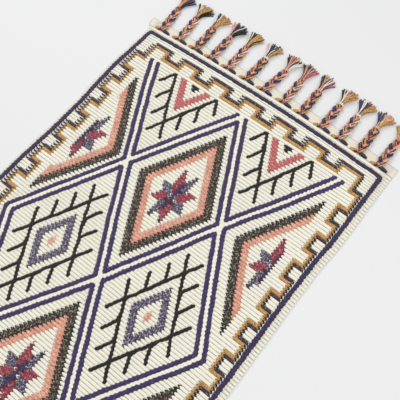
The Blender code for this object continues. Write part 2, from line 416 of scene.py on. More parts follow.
def wool(name, colour, painted_shade_colour, fleck=None, share=0.4, turn_mm=TURN_MM):
    """Hand-dyed wool yarn, spun thick and matt. Fibres scatter the light, so it shows no gloss but a
    faint pale sheen at grazing angles. Each rib is wrapped yarn, so fine turns cross it, and the dye
    takes unevenly from one hank to the next. A mixed yarn shows flecks of its paler ply. Its turns and
    fibres are painted lighter and darker as light and shade. Where its dark attribute is set, it is
    mixed in patches towards its painted shade colour."""
    material, tree = empty_material(name)
    place = add_node(tree, "ShaderNodeTexCoord").outputs["Object"]
    turned = add_node(tree, "ShaderNodeMapping", {"Vector": place, "Rotation": (0.0, 0.0, 0.32)})
    turns = add_node(
        tree, "ShaderNodeTexWave",
        {"Vector": turned.outputs[0], "Scale": wave_scale(turn_mm), "Distortion": 1.4, "Detail": 1.0},
        bands_direction="X",
    ).outputs["Fac"]
    fibres, hanks, patches = [
        add_node(
            tree, "ShaderNodeTexNoise",
            {"Vector": place, "Scale": per_metre(grain_mm), "Detail": detail},
        ).outputs["Fac"]
        for grain_mm, detail in ((FIBRE_MM, 3.0), (HANK_MM, 2.0), (GROOVE_PATCH_MM, 1.0))
    ]

    # the dye, uneven from hank to hank
    worn = [value * WORN for value in linear(colour)[:3]] + [1.0]
    dyed = add_node(
        tree, "ShaderNodeMix", {"Factor": hanks, 6: linear(colour), 7: worn}, data_type="RGBA",
    ).outputs[2]
    if fleck:
        slanted = add_node(
            tree, "ShaderNodeMapping",
            {"Vector": place, "Rotation": (0.0, 0.0, 0.6), "Scale": (1.0, 0.5, 1.0)},
        ).outputs[0]
        specks = add_node(
            tree, "ShaderNodeTexNoise",
            {"Vector": slanted, "Scale": per_metre(FLECK_MM), "Detail": 1.0},
        ).outputs["Fac"]
        low, high = [limit - FLECK_REACH * share for limit in FLECK_FADE]
        flecks = add_node(
            tree, "ShaderNodeMapRange", {"Value": specks, "From Min": low, "From Max": high},
        ).outputs[0]
        dyed = add_node(
            tree, "ShaderNodeMix", {"Factor": flecks, 6: dyed, 7: linear(fleck)}, data_type="RGBA",
        ).outputs[2]

    # its turns and fibres in painted light and shade, and the patches of the painted shade in its
    # grooves: each pattern's range, and the range it becomes
    reaches = (
        (turns, 0.0, 1.0, 0.88, 1.04),
        (fibres, 0.3, 0.7, 0.88, 1.08),
        (patches, 0.32, 0.62, 0.45, 1.15),
    )
    lit, mottled, patchy = [
        add_node(
            tree, "ShaderNodeMapRange",
            {"Value": pattern, "From Min": low, "From Max": high, "To Min": least, "To Max": most},
        ).outputs[0]
        for pattern, low, high, least, most in reaches
    ]
    both = add_node(tree, "ShaderNodeMath", {0: lit, 1: mottled}, operation="MULTIPLY").outputs[0]
    textured = add_node(
        tree, "ShaderNodeVectorMath", {0: dyed, "Scale": both}, operation="SCALE",
    ).outputs[0]

    # the painted shade of the grooves, of the ends of runs and of the stitches' sides, and the darker
    # selvedge band, in patches
    dark = add_node(tree, "ShaderNodeAttribute", attribute_name="dark").outputs["Fac"]
    depth = add_node(tree, "ShaderNodeMath", {0: dark, 1: patchy}, operation="MULTIPLY").outputs[0]
    final = add_node(
        tree, "ShaderNodeMix", {"Factor": depth, 6: textured, 7: linear(painted_shade_colour)}, data_type="RGBA",
    ).outputs[2]

    relief = add_node(tree, "ShaderNodeMath", {0: turns, 1: fibres}, operation="ADD").outputs[0]
    bump = add_node(tree, "ShaderNodeBump", {"Height": relief, "Strength": 0.7, "Distance": 0.0006})
    shader = add_node(
        tree, "ShaderNodeBsdfPrincipled",
        {"Base Color": final, "Roughness": 0.92, "Sheen Weight": 0.2, "Sheen Roughness": 0.6,
         "Specular IOR Level": 0.2, "Normal": bump.outputs[0]},
    )
    add_node(tree, "ShaderNodeOutputMaterial", {"Surface": shader.outputs[0]})
    return material


def plain_stage(name, colour):
    """Matt painted floor."""
    material, tree = empty_material(name)
    shader = add_node(
        tree, "ShaderNodeBsdfPrincipled",
        {"Base Color": linear(colour), "Roughness": 0.8, "Specular IOR Level": 0.2},
    )
    add_node(tree, "ShaderNodeOutputMaterial", {"Surface": shader.outputs[0]})
    return material


def make_wools():
    """The yarns' materials, in the order of their slots."""
    # each yarn: its dye, the colour of its painted shade, and any fleck with that fleck's share
    return [
        wool("undyed_ivory_wool", "#EEEADB", "#85866F"),
        wool("salmon_dyed_wool", "#E9B8A1", "#A0604C", "#C67864", 0.44),
        wool("rose_dyed_wool", "#BC5F62", "#843A40", "#D79890", 0.32),
        wool("ochre_dyed_wool", "#CB9C58", "#5A3A1C", "#8A6434", 0.38),
        wool("grey_and_navy_mixed_wool", "#433B57", "#1E1828", "#ABA4AE", 0.44),
        wool("burgundy_dyed_wool", "#8E3042", "#3E1420", "#C07F80", 0.36),
        wool("navy_dyed_wool", "#392E55", "#1A1530", "#4D4468", 0.35),
        wool("black_and_grey_mixed_wool", "#2A251F", "#0E0B08", "#A0927F", 0.36),
        wool("black_wool", "#1C1812", "#0A0806", "#342E25", 0.30),
        wool("ivory_hem_wool", "#E6DFCD", "#85857F", turn_mm=HEM_TURN_MM),
        wool("black_and_navy_mixed_wool", "#352938", "#140F16", "#7F6C72", 0.26),
        wool("deep_navy_dyed_wool", "#352B49", "#17122A", "#463C5C", 0.35),
    ]


# The plan of the cloth

def smooth_step(value):
    value = min(1.0, max(0.0, value))
    return value * value * (3.0 - 2.0 * value)


def place_of_rib(rib):
    """How far along from the middle crossing this rib starts; part ribs count too."""
    steady = min(0.0, rib - STEADY_FROM_RIB)
    rib = max(rib, STEADY_FROM_RIB)
    last_pitch = MIDDLE_PITCH + PITCH_GROWTH * STEADY_FROM_RIB
    return MIDDLE_PITCH * rib + 0.5 * PITCH_GROWTH * rib * rib + last_pitch * steady


RIBS_HALF = 0.5 * (place_of_rib(LAST_RIB) - place_of_rib(-LAST_RIB))
MIDDLE_SHIFT = 0.5 * (place_of_rib(LAST_RIB) + place_of_rib(-LAST_RIB))


def along_of_rib(rib):
    """The same place measured from the middle of the rug."""
    return place_of_rib(rib) - MIDDLE_SHIFT


def read_wave(along, column):
    for low, high in zip(SELVEDGE_WAVE, SELVEDGE_WAVE[1:]):
        if along <= high[0]:
            share = smooth_step((along - low[0]) / (high[0] - low[0]))
            return low[column] + share * (high[column] - low[column])
    return SELVEDGE_WAVE[-1][column]


def bow(across):
    """How far the end's edge lags at this place across the rug."""
    if across < 0.0:
        return BOW_LEFT * (across / LEFT_EDGE) ** 2
    return BOW_RIGHT * (across / RIGHT_EDGE) ** 2


def handmade(across, along):
    """Moves a point of the straight rug to where it lies on the uneven one."""
    if across < 0.0:
        x = across * (1.0 - read_wave(along, 1) / LEFT_EDGE)
    else:
        x = across * (1.0 + read_wave(along, 2) / RIGHT_EDGE)
    share = smooth_step((abs(along) - BOW_STARTS) / (BOW_FULL - BOW_STARTS))
    return x, along - math.copysign(bow(across) * share, along)


# The woven pattern

def paint(runs, left, right, yarn):
    """Lays a stretch of one yarn over the runs of a rib."""
    if right - left < SHORTEST_RUN:
        return runs
    kept = [(left, right, yarn)]
    for low, high, old in runs:
        if low < left:
            kept.append((low, min(high, left), old))
        if high > right:
            kept.append((max(low, right), high, old))
    return sorted(run for run in kept if run[1] - run[0] > 1e-6)


def joined(runs):
    """The runs with neighbours of one yarn made one."""
    out = []
    for low, high, yarn in runs:
        if out and out[-1][2] == yarn:
            out[-1] = (out[-1][0], high, yarn)
        else:
            out.append((low, high, yarn))
    return out


def crossings(points, rib):
    """Where a closed shape is crossed along one rib, from left to right."""
    found = []
    for (x0, r0), (x1, r1) in zip(points, points[1:] + points[:1]):
        if (r0 <= rib) != (r1 <= rib):
            found.append(x0 + (x1 - x0) * (rib - r0) / (r1 - r0))
    return sorted(found)


def moved(points, x, rib, size=1.0):
    """Places on the rug, moved across it and along it; a size of -1 turns them half round."""
    return [(x + size * across, rib + size * up) for across, up in points]


def diamond(x, rib, half, half_ribs):
    return [(x, rib + half_ribs), (x + half, rib), (x, rib - half_ribs), (x - half, rib)]


def star_diamond(x, rib):
    """A star in its diamonds, as (yarn, shape) from the bottom layer up."""
    shapes = [(yarn, diamond(x, rib, half, ribs)) for yarn, half, ribs in STAR_DIAMONDS]
    for turn in (-1.0, 1.0):
        shapes += [(yarn, moved(points, x, rib - STAR_DROP, turn)) for yarn, points in PETALS]
    return shapes + [(NAVY, moved(STAR_HEART, x, rib - STAR_DROP))]


def ladder_heart(x, rib, ring, spot, sizes):
    """The small diamond in a ladder, with a spot in its middle."""
    return [(yarn, diamond(x, rib, *size)) for yarn, size in zip((ring, IVORY, spot), sizes)]


def field_shapes():
    """(yarn, shape, lowest x, highest x) of every woven motif, from the bottom layer up."""
    shapes = []
    for sign, middle in STAR_ROWS:
        for x, lowest, highest in ((middle, -1.0, 1.0), *CUT_STARS):
            shapes += [(*layer, lowest, highest) for layer in star_diamond(x, STAR_RIB * sign)]
        for x in HALF_LADDER_MIDDLES:
            heart = ladder_heart(x, FIELD_RIBS * sign, ROSE, BLACK, HALF_HEART)
            shapes += [(*layer, -1.0, 1.0) for layer in heart]
    for x, rib in LADDER_MIDDLES:
        heart = ladder_heart(x, rib, GREY_NAVY, SALMON, WHOLE_HEART)
        shapes += [(*layer, -1.0, 1.0) for layer in heart]
    return shapes


FIELD_SHAPES = field_shapes()


def paint_side_fret(runs, rib, toothed):
    """The fret up both sides: a dark line and an ochre one, side by side. They are on the inner line
    in a box's middle and one rib away. Two ribs away the dark one crosses, and three the ochre one."""
    away = min(abs(rib - box) for box in SIDE_BOXES)
    for side, outline, outer, inner in FRET_SIDES:
        start = (inner if away < 2 else outer)[0 if toothed else 1]
        meeting = (inner if away < 3 else outer)[2]
        end = (inner if away < 4 else outer)[3]
        for yarn, near, far in ((INK, start, meeting), (OCHRE, meeting, end)):
            left, right = sorted((outline - side * near, outline - side * far))
            runs = paint(runs, left, right, yarn)
    return runs


def paint_end_fret(runs, level, toothed):
    """The fret across an end: a dark and an ochre level that step down around each box."""
    teeth, leg, ochre, end = BOX_REACH
    dark = teeth if toothed else leg
    left = FRET_SIDES[0][1] + FRET_SIDES[0][3][1]
    right = FRET_SIDES[1][1] - FRET_SIDES[1][3][1]
    if level == 0:
        runs = paint(runs, left, right, INK)
    if level == 1:
        runs = paint(runs, left + CORNER_STEP, right - CORNER_STEP, OCHRE)
    for box in END_BOXES:
        if level > 0:
            runs = paint(runs, box - end, box + end, OCHRE)
        if level < DARK_LEVELS:
            runs = paint(runs, box - ochre, box + ochre, INK)
        if level < HOLLOW_LEVELS:
            runs = paint(runs, box - dark, box + dark, IVORY)
    return runs


def row_runs(rib, toothed):
    """(left, right, yarn) of each stretch along one rib, with or without the fret's teeth."""
    runs = [(LEFT_EDGE, RIGHT_EDGE, IVORY)]
    middle = rib + 0.5
    if abs(middle) < FIELD_RIBS:
        for yarn, points, lowest, highest in FIELD_SHAPES:
            cuts = crossings(points, middle)
            for left, right in zip(cuts[::2], cuts[1::2]):
                runs = paint(runs, max(left, lowest), min(right, highest), yarn)
    level = min(FRET_TOP_RIB - rib, rib + 1 + FRET_TOP_RIB)
    if level >= 1:
        runs = paint_side_fret(runs, rib, toothed)
    if 0 <= level < FRET_LEVELS:
        runs = paint_end_fret(runs, level, toothed)
    return joined(runs)


# The woven cloth

def snapped(value):
    """A place across, rounded so that the strips on both sides of a line share its points."""
    return round(value * SNAPS_PER_METRE) / SNAPS_PER_METRE


def lay_out_cloth():
    """The lines across the cloth from the near hem to the far one, as (along, height, depth in the
    groove), and the strips between them, as (runs, their shift above, their shift below, rib)."""
    end = RIBS_HALF + HEM_DEPTH
    hem_run = [(LEFT_EDGE, RIGHT_EDGE, HEM)]
    lines = [(end - inwards, height, depth) for inwards, height, depth in HEM_LINES]
    strips = [(hem_run, 0.0, 0.0, None)] * len(HEM_LINES)
    for rib in range(LAST_RIB - 1, -LAST_RIB - 1, -1):
        runs = [row_runs(rib, False), row_runs(rib, True)]
        below = [line[3] for line in RIB_LINES[1:]] + [RIB_LINES[0][3]]
        for (place, height, depth, shift, toothed), shift_below in zip(RIB_LINES, below):
            lines.append((along_of_rib(rib + place), height, depth))
            strips.append((runs[toothed], shift, shift_below, rib))
    strips[-1] = (hem_run, 0.0, 0.0, None)
    lines += [(-end + inwards, height, depth) for inwards, height, depth in reversed(HEM_LINES)]
    strips += [(hem_run, 0.0, 0.0, None)] * (len(HEM_LINES) - 1)
    return lines, strips


def run_cuts(runs):
    """Where a strip is cut before its slant: at the ends of its runs, beside them where the end of a
    run gets painted shade, and at an even step."""
    cuts = {x for _, x, _ in runs[:-1]}
    for left, right, yarn in runs:
        if PAINTED_END_SHADE[yarn] > SHADED_ENDS and right - left > SHORTEST_SHADED_RUN:
            cuts |= {left + SHADED_END_LENGTH, right - SHADED_END_LENGTH}
    count = round((RIGHT_EDGE - LEFT_EDGE) / COLUMN_STEP)
    for number in range(1, count):
        x = LEFT_EDGE + (RIGHT_EDGE - LEFT_EDGE) * number / count
        if all(abs(x - cut) > CUT_SPACING for cut in cuts):
            cuts.add(x)
    return sorted(x for x in cuts if LEFT_EDGE + EDGE_MARGIN < x < RIGHT_EDGE - EDGE_MARGIN)


def cut_pairs(runs, above, below):
    """The cuts of a strip as (x on the line above, x on the line below, x before the slant)."""
    pairs = [(snapped(x), snapped(x), x) for x in EDGE_CUTS]
    pairs += [(snapped(x + above), snapped(x + below), x) for x in run_cuts(runs)]
    return sorted(pairs)


def from_selvedge(across):
    """How far inside the nearer selvedge a place across the rug lies."""
    return min(across - LEFT_EDGE, RIGHT_EDGE - across)


def darkness(x, depth, run):
    """How dark the yarn is at a place along its run: painted shade in the groove and at the run's two
    ends, where the yarn dives, and a darker band where the yarn wraps the selvedge."""
    left, right, yarn = run
    nearest = min(x - left, right - x)
    end = END_SHADE_STRENGTH * PAINTED_END_SHADE[yarn] * max(0.0, 1.0 - nearest / SHADED_END_LENGTH)
    wrapped = WRAP_DARKNESS if WRAP_STARTS < from_selvedge(x) < WRAP_ENDS else 0.0
    return max(PAINTED_GROOVE_SHADE[yarn] * depth, end, wrapped)


def edge_height(across, height):
    """The cloth rounds down to the floor at its selvedges."""
    share = min(1.0, max(0.0, from_selvedge(across)) / EDGE_ROUNDING)
    return height * (EDGE_SHARE + (1.0 - EDGE_SHARE) * share ** 0.5)


def corner_reach(along, half):
    """How much the hem band's corner sticks out past the selvedge here."""
    past = abs(along) - RIBS_HALF - HEM_DEPTH + HEM_CORNER_DEPTH
    share = smooth_step(past / (0.5 * HEM_CORNER_DEPTH))
    return (HEM_CORNER_HALF - half) * share


def cloth_point(across, along, height):
    """A point of the straight cloth at its true place, with the wobble of a handloom."""
    inwards = from_selvedge(across)
    wobble = WOBBLE * noise.noise(Vector((across * WOBBLE_WAVES[0], along * WOBBLE_WAVES[1], 3.0)))
    x, y = handmade(across, along + wobble)
    outwards = -1.0 if across < 0.0 else 1.0
    half = -LEFT_EDGE if across < 0.0 else RIGHT_EDGE
    swell = max(0.0, (height - GROOVE_HEIGHT) / (CREST_HEIGHT - GROOVE_HEIGHT))
    x += outwards * corner_reach(along, half) * max(0.0, 1.0 - inwards / CORNER_BLEND)
    x += outwards * EDGE_BULGE * swell * max(0.0, 1.0 - inwards / EDGE_ROUNDING)
    return Vector((x, y, edge_height(across, height)))


def rim_lines(strips):
    """The lines that the back keeps: both ends, and where one rib meets the next."""
    ribs = [rib for _, _, _, rib in strips]
    changes = [number for number in range(1, len(ribs)) if ribs[number - 1] != ribs[number]]
    return [0] + changes + [len(ribs)]


def lay_points(bm, lines, pairs, kept, is_top):
    """The points of each kept line, found by their place across; the back's lie on the floor."""
    rows = []
    for number in kept:
        above = [] if number == 0 else [pair[1] for pair in pairs[number - 1]]
        below = [] if number == len(pairs) else [pair[0] for pair in pairs[number]]
        row = {}
        for x in sorted(set(above) | set(below)):
            point = cloth_point(x, *lines[number][:2])
            row[x] = bm.verts.new(point if is_top else (point.x, point.y, 0.0))
        rows.append(row)
    return rows


def lay_runs(bm, lines, strips, kept, rows, is_top):
    """The faces between the kept lines: a run's stretch from one cut to the next is one face."""
    dark = bm.loops.layers.float["dark"]
    uv = bm.loops.layers.uv["OFBake"]
    for number, (here, following) in enumerate(zip(kept, kept[1:])):
        runs, shift_above = strips[here][:2]
        shift_below = strips[following - 1][2]
        depths = (lines[here][2], lines[following][2])
        cuts = cut_pairs(runs, shift_above, shift_below)
        for start, stop in zip(cuts, cuts[1:]):
            middle = 0.5 * (start[2] + stop[2])
            run = next(found for found in runs if found[0] <= middle <= found[1])
            upper = [(x, x - shift_above, 0) for x in rows[number] if start[0] <= x <= stop[0]]
            lower = [(x, x - shift_below, 1) for x in rows[number + 1] if start[1] <= x <= stop[1]]
            ring = sorted(upper) + sorted(lower, reverse=True)
            if len(ring) < 3:
                continue
            face = bm.faces.new([rows[number + level][x] for x, _, level in ring])
            face.material_index = run[2]
            face.smooth = True
            for loop, (_, straight, level) in zip(face.loops, ring):
                # painted shade on the top, in its grooves and at the ends of its runs, and a darker
                # band inside the selvedges; the back gets none
                loop[dark] = darkness(straight, depths[level], run) if is_top else 0.0
                place = loop.vert.co
                loop[uv].uv = MAP_MIDDLES[is_top] + MAP_SCALE[0] * place.x, 0.5 + MAP_SCALE[1] * place.y


def build_cloth(wools):
    """The cloth: every run of yarn is a face from line to line on top, and the same runs lie flat
    below."""
    lines, strips = lay_out_cloth()
    pairs = [cut_pairs(*strip[:3]) for strip in strips]
    bm = bmesh.new()
    bm.loops.layers.float.new("dark")
    bm.loops.layers.uv.new("OFBake")
    sides = []
    for kept, is_top in ((list(range(len(lines))), True), (rim_lines(strips), False)):
        rows = lay_points(bm, lines, pairs, kept, is_top)
        lay_runs(bm, lines, strips, kept, rows, is_top)
        sides.append((kept, rows))
    close_rim(bm, sides[0][1], *sides[1])
    return finish_piece(bm, "kilim_cloth", wools)


def close_rim(bm, top_rows, kept, back_rows):
    """Walls between the top's rim and the back's, which has fewer lines."""
    for pick in (min, max):
        for number, (here, following) in enumerate(zip(kept, kept[1:])):
            ring = [row[pick(row)] for row in top_rows[here:following + 1]]
            ring += [row[pick(row)] for row in (back_rows[number + 1], back_rows[number])]
            bm.faces.new(ring).material_index = IVORY
    for row, flat in ((top_rows[0], back_rows[0]), (top_rows[-1], back_rows[-1])):
        across = sorted(row)
        for left, right in zip(across, across[1:]):
            bm.faces.new((row[left], row[right], flat[right], flat[left])).material_index = HEM


def skin(bm, rings, closed, slot=0):
    """The surface of a line or a yarn, from each ring of its points to the next, with closed ends."""
    pairs = list(zip(rings, rings[1:])) + ([(rings[-1], rings[0])] if closed else [])
    for ring, following in pairs:
        for i, vertex in enumerate(ring):
            face = bm.faces.new((ring[i - 1], vertex, following[i], following[i - 1]))
            face.material_index = slot
            face.smooth = True
    if not closed:
        for cap in (rings[0], rings[-1][::-1]):
            bm.faces.new(cap).material_index = slot


def add_to_scene(name, data):
    thing = bpy.data.objects.new(name, data)
    bpy.context.scene.collection.objects.link(thing)
    return thing


def finish_piece(bm, name, materials):
    """Turns the faces outwards and makes the piece."""
    bmesh.ops.recalc_face_normals(bm, faces=bm.faces)
    mesh = bpy.data.meshes.new(name)
    bm.to_mesh(mesh)
    bm.free()
    for material in materials:
        mesh.materials.append(material)
    return add_to_scene(name, mesh)


# Lines worked over the ribs

def even_places(points):
    """Points at an even step along a path of (across, rib), as (across, along, rib)."""
    places = []
    for (x0, r0), (x1, r1) in zip(points, points[1:]):
        length = math.hypot(x1 - x0, along_of_rib(r1) - along_of_rib(r0))
        count = max(1, round(length / STITCH_STEP))
        for number in range(count):
            share = number / count
            rib = r0 + (r1 - r0) * share
            places.append((x0 + (x1 - x0) * share, along_of_rib(rib), rib))
    places.append((points[-1][0], along_of_rib(points[-1][1]), points[-1][1]))
    return places


def uneven(across, along, seed, waves, own_seed):
    """A smooth random value that waves this many times a metre."""
    return noise.noise(Vector((across * waves, along * waves, seed + own_seed)))


def stitch_ring(bm, dark, place, side, seed, size, style):
    """The section of a stitched line at one place, from its left foot over its top to its right."""
    across, along, rib = place
    width, height, bulge, stray, shade = style
    turn = 2.0 * math.pi * (rib - 0.5)
    half = 0.5 * width * size * (1.0 + RAGGEDNESS * uneven(across, along, seed, *EDGE_WAVES))
    drift = uneven(across, along, seed, *LONG_WAVES) + uneven(across, along, seed, *SHORT_WAVES)
    drift *= stray
    x, y = handmade(across, along)
    rise = CREST_HEIGHT + height * size - GROUND_HEIGHT
    ring = []
    for out, share in STITCH_SECTION:
        swell = math.cos(turn + STITCH_SLANT * out)
        reach = half * out * (1.0 + bulge * swell) + drift
        z = GROUND_HEIGHT + (rise + STITCH_RISE * swell) * share
        vertex = bm.verts.new((x + side.x * reach, y + side.y * reach, z))
        vertex[dark] = shade * max(0.0, SHADED_SWELL - swell)
        ring.append(vertex)
    return ring


def worked_line(bm, points, seed, width, height, closed=False, bulge=0.15, stray=0.0018, shade=0.28):
    """A line of stitches worked over the ribs: low and rounded, a little wider on each rib, and as
    uneven as the hand that worked it."""
    places = even_places(points + points[:1])[:-1] if closed else even_places(points)
    last = len(places) - 1
    dark = bm.verts.layers.float.get("dark") or bm.verts.layers.float.new("dark")
    style = (width, height, bulge, stray, shade)
    rings = []
    for number, place in enumerate(places):
        before = places[number - 1] if number or closed else place
        after = places[(number + 1) % len(places)] if number < last or closed else place
        tangent = Vector(handmade(*after[:2])) - Vector(handmade(*before[:2]))
        side = Vector((-tangent.y, tangent.x)).normalized()
        size = 1.0 if closed else min(1.0, END_SIZE + END_GAIN * min(number, last - number))
        rings.append(stitch_ring(bm, dark, place, side, seed, size, style))
    skin(bm, rings, closed)


def lattice_rows():
    """The rows of the lattice's crossings, each as (across, rib)."""
    return [[(x, rib) for x in places] for rib, places in LATTICE_ROWS]


def inset(corners, steps):
    """The corners of a path, each moved by its own step."""
    return [(x + across, rib + up) for (x, rib), (across, up) in zip(corners, steps)]


def navy_paths():
    """(closed, points) of the lattice's navy lines: one round each whole cell, and open ones."""
    rows = lattice_rows()
    top, upper, middle, lower, bottom = rows
    across, ribs = LINE_INSET, LINE_INSET_RIBS
    cells = (
        (top[1], upper[1], middle[1], upper[0]),
        (middle[1], lower[1], bottom[1], lower[0]),
        (upper[0], middle[1], lower[0], middle[0]),
        (upper[1], middle[2], lower[1], middle[1]),
    )
    inwards = ((0.0, -ribs), (-across, 0.0), (0.0, ribs), (across, 0.0))
    paths = [(True, inset(cell, inwards)) for cell in cells]
    for end, inner, up in ((top, upper, ribs), (bottom, lower, -ribs)):
        for i in range(2):
            notch = (end[i], inner[i], end[i + 1])
            paths.append((False, inset(notch, ((across, 0.0), (0.0, up), (-across, 0.0)))))
    for side, pick in ((-1.0, 0), (1.0, -1)):
        paths.append((False, moved([row[pick] for row in rows], side * across, 0.0)))
    return paths


def ivory_paths():
    """The four zigzags of ivory that fill the lattice between its navy lines."""
    zigzags = ((0, 0, 1, 1, 2), (2, 1, 1, 0, 0), (1, 1, 2, 1, 1), (1, 0, 0, 0, 1))
    return [[row[place] for row, place in zip(lattice_rows(), zigzag)] for zigzag in zigzags]


def ladder_paths(x, rib, lowest, highest):
    """The strokes of one ladder, kept between two ribs. A rung starts along its long stroke and
    then bends away from it."""
    per_rib = LADDER_HALF / LADDER_RIBS
    strokes = []
    for side in (-1.0, 1.0):
        for up in (-1.0, 1.0):
            start = (side * (LADDER_HALF + RUNG_RIBS * per_rib), -up * RUNG_RIBS)
            stop = (-side * RUNG_RIBS * per_rib, up * (LADDER_RIBS + RUNG_RIBS))
            strokes.append([start, stop])
            for step in RUNG_PLACES:
                back = step - FOOT_BACK
                foot = (side * (LADDER_HALF - back * per_rib), up * back)
                on_stroke = LADDER_HALF - step * per_rib
                knee = (side * (on_stroke + KNEE_ACROSS), up * (step + KNEE_RIBS))
                tip = (side * (on_stroke + RUNG_ACROSS), up * (step + RUNG_RIBS))
                strokes.append([foot, knee, tip])
    kept = [cut_between(moved(stroke, x, rib), lowest, highest) for stroke in strokes]
    return [stroke for stroke in kept if stroke]


def cut_between(points, lowest, highest):
    """The part of a stroke that climbs one way between two ribs, or nothing."""
    points = sorted(points, key=lambda point: point[1])
    if points[-1][1] <= lowest + SHORTEST_STROKE or points[0][1] >= highest - SHORTEST_STROKE:
        return None
    kept = [point for point in points if lowest < point[1] < highest]
    for (x0, r0), (x1, r1) in zip(points, points[1:]):
        for limit in (lowest, highest):
            if r0 <= limit <= r1:
                kept.append((x0 + (x1 - x0) * (limit - r0) / (r1 - r0), limit))
    return sorted(kept, key=lambda point: point[1])


def every_ladder_path():
    """The strokes of the whole ladders and of the half ones, which stop at the field's ends."""
    paths = []
    for x, rib in LADDER_MIDDLES:
        paths += ladder_paths(x, rib, -LAST_RIB, LAST_RIB)
    for x in HALF_LADDER_MIDDLES:
        paths += ladder_paths(x, FIELD_RIBS, -LAST_RIB, FIELD_RIBS)
        paths += ladder_paths(x, -FIELD_RIBS, -FIELD_RIBS, LAST_RIB)
    return paths


def outline_path():
    """The corners of the navy outline, between the fret and the selvedges."""
    left, right = FRET_SIDES[0][1], FRET_SIDES[1][1]
    return [(left, OUTLINE_RIB), (right, OUTLINE_RIB), (right, -OUTLINE_RIB), (left, -OUTLINE_RIB)]


def build_lines(wools):
    """The lattice, the outline and the ladders, one piece for each."""
    lattice, filling, outline, ladders = [bmesh.new() for _ in range(4)]
    for seed, (closed, points) in enumerate(navy_paths()):
        worked_line(lattice, points, seed, LATTICE_WIDTH, STITCH_HEIGHT, closed)
    for number, points in enumerate(ivory_paths()):
        height = FILLING_HEIGHT + FILLING_CROSSING * number
        seed = FILLING_SEED + number
        worked_line(filling, points, seed, LATTICE_WIDTH, height, bulge=0.0, shade=0.10)
    worked_line(outline, outline_path(), OUTLINE_SEED, OUTLINE_WIDTH, STITCH_HEIGHT, closed=True)
    for seed, points in enumerate(every_ladder_path(), LADDER_SEED):
        worked_line(ladders, points, seed, LADDER_WIDTH, STITCH_HEIGHT, bulge=0.20, stray=0.0026)
    return [
        finish_piece(lattice, "lattice_lines", [wools[NAVY]]),
        finish_piece(filling, "lattice_filling", [wools[IVORY]]),
        finish_piece(outline, "navy_outline", [wools[DEEP_NAVY]]),
        finish_piece(ladders, "ladder_lines", [wools[BLACK]]),
    ]


# Tassels

def yarn_ring(bm, point, radius, side, up, sides):
    """The points round a yarn at one place."""
    ring = []
    for number in range(sides):
        angle = 2.0 * math.pi * number / sides
        ring.append(bm.verts.new(point + radius * (math.cos(angle) * side + math.sin(angle) * up)))
    return ring


def draw_yarn(bm, points, radius, slot, sides, flare=0.0):
    """A length of yarn along the points, with closed ends; it may get thicker towards its tip."""
    points = [Vector(point) for point in points]
    last = len(points) - 1
    rings = []
    for number, point in enumerate(points):
        before = points[max(0, number - 1)]
        after = points[min(last, number + 1)]
        tangent = (after - before).normalized()
        side = tangent.cross(UP).normalized()
        thick = radius + flare * (number / last)
        rings.append(yarn_ring(bm, point, thick, side, side.cross(tangent), sides))
    skin(bm, rings, False, slot)


def underside_height(out):
    """A tassel lies on the hem band at its root, and on the floor past the band's edge."""
    return (HEM_HEIGHT + REST_GAP) * (1.0 - smooth_step((out - DROP_STARTS) / DROP_LENGTH))


def plait_point(strand, yarn, count, share, lean):
    """A point of one yarn in a three-strand plait."""
    turn = 2.0 * math.pi * (share * PLAIT_TURNS + strand / 3.0)
    opened = smooth_step(share / PLAIT_OPENS)
    narrowed = smooth_step((share - PLAIT_NARROWS_FROM) / (1.0 - PLAIT_NARROWS_FROM))
    gather = PLAIT_ROOT_WIDTH + (1.0 - PLAIT_ROOT_WIDTH) * opened
    gather *= 1.0 - PLAIT_NARROWS * narrowed
    swing = PLAIT_SWING * gather
    climb = PLAIT_CROSSING * math.sin(2.0 * turn)
    pace = 2.0 * math.pi * PLAIT_TURNS / PLAIT_LENGTH
    slope = Vector((swing * math.cos(turn) * pace, 1.0)).normalized()
    offset = (yarn - 0.5 * (count - 1)) * YARN_SPACING * gather
    out = PLAIT_STARTS + share * (PLAIT_LENGTH + PLAIT_UNDER_TIE)
    x = swing * math.sin(turn) + slope.y * offset + lean * out / TIE_AT
    y = out - slope.x * offset
    rest = underside_height(y) + PLAIT_CROSSING + YARN_RADIUS + PLAIT_LIFT
    return x, y, rest + climb - YARN_CROWN * offset * offset


def build_plait(bm, lean, number):
    """Three flat strands of four yarns, plaited."""
    for strand, letters in enumerate(PLAITS[number % len(PLAITS)]):
        for yarn, letter in enumerate(letters):
            points = [
                plait_point(strand, yarn, len(letters), step / PLAIT_STEPS, lean)
                for step in range(PLAIT_STEPS + 1)
            ]
            draw_yarn(bm, points, YARN_RADIUS, YARN_LETTERS[letter], YARN_SIDES)


def build_leg(bm, start, stop, half, radius, yarns):
    """A flattened bundle of yarns that comes out of the cloth, swells and goes back in."""
    start, stop = Vector((*start, 0.0)), Vector((*stop, 0.0))
    side = Vector((-(stop - start).y, (stop - start).x, 0.0)).normalized()
    middle = 0.5 * (len(yarns) - 1)
    for number, yarn in enumerate(yarns):
        place = (number - middle) / max(1.0, middle)
        crown = radius + LEG_CROWN * (1.0 - LEG_FLATNESS * place * place)
        points = []
        for step in range(LEG_STEPS + 1):
            share = step / LEG_STEPS
            swell = math.sin(math.pi * (LEG_OUT + (1.0 - 2.0 * LEG_OUT) * share)) ** LEG_FULLNESS
            point = start.lerp(stop, share) + side * place * half * swell
            point.z = HEM_HEIGHT - LEG_SUNK + crown * swell
            points.append(point)
        draw_yarn(bm, points, radius, yarn, YARN_SIDES)


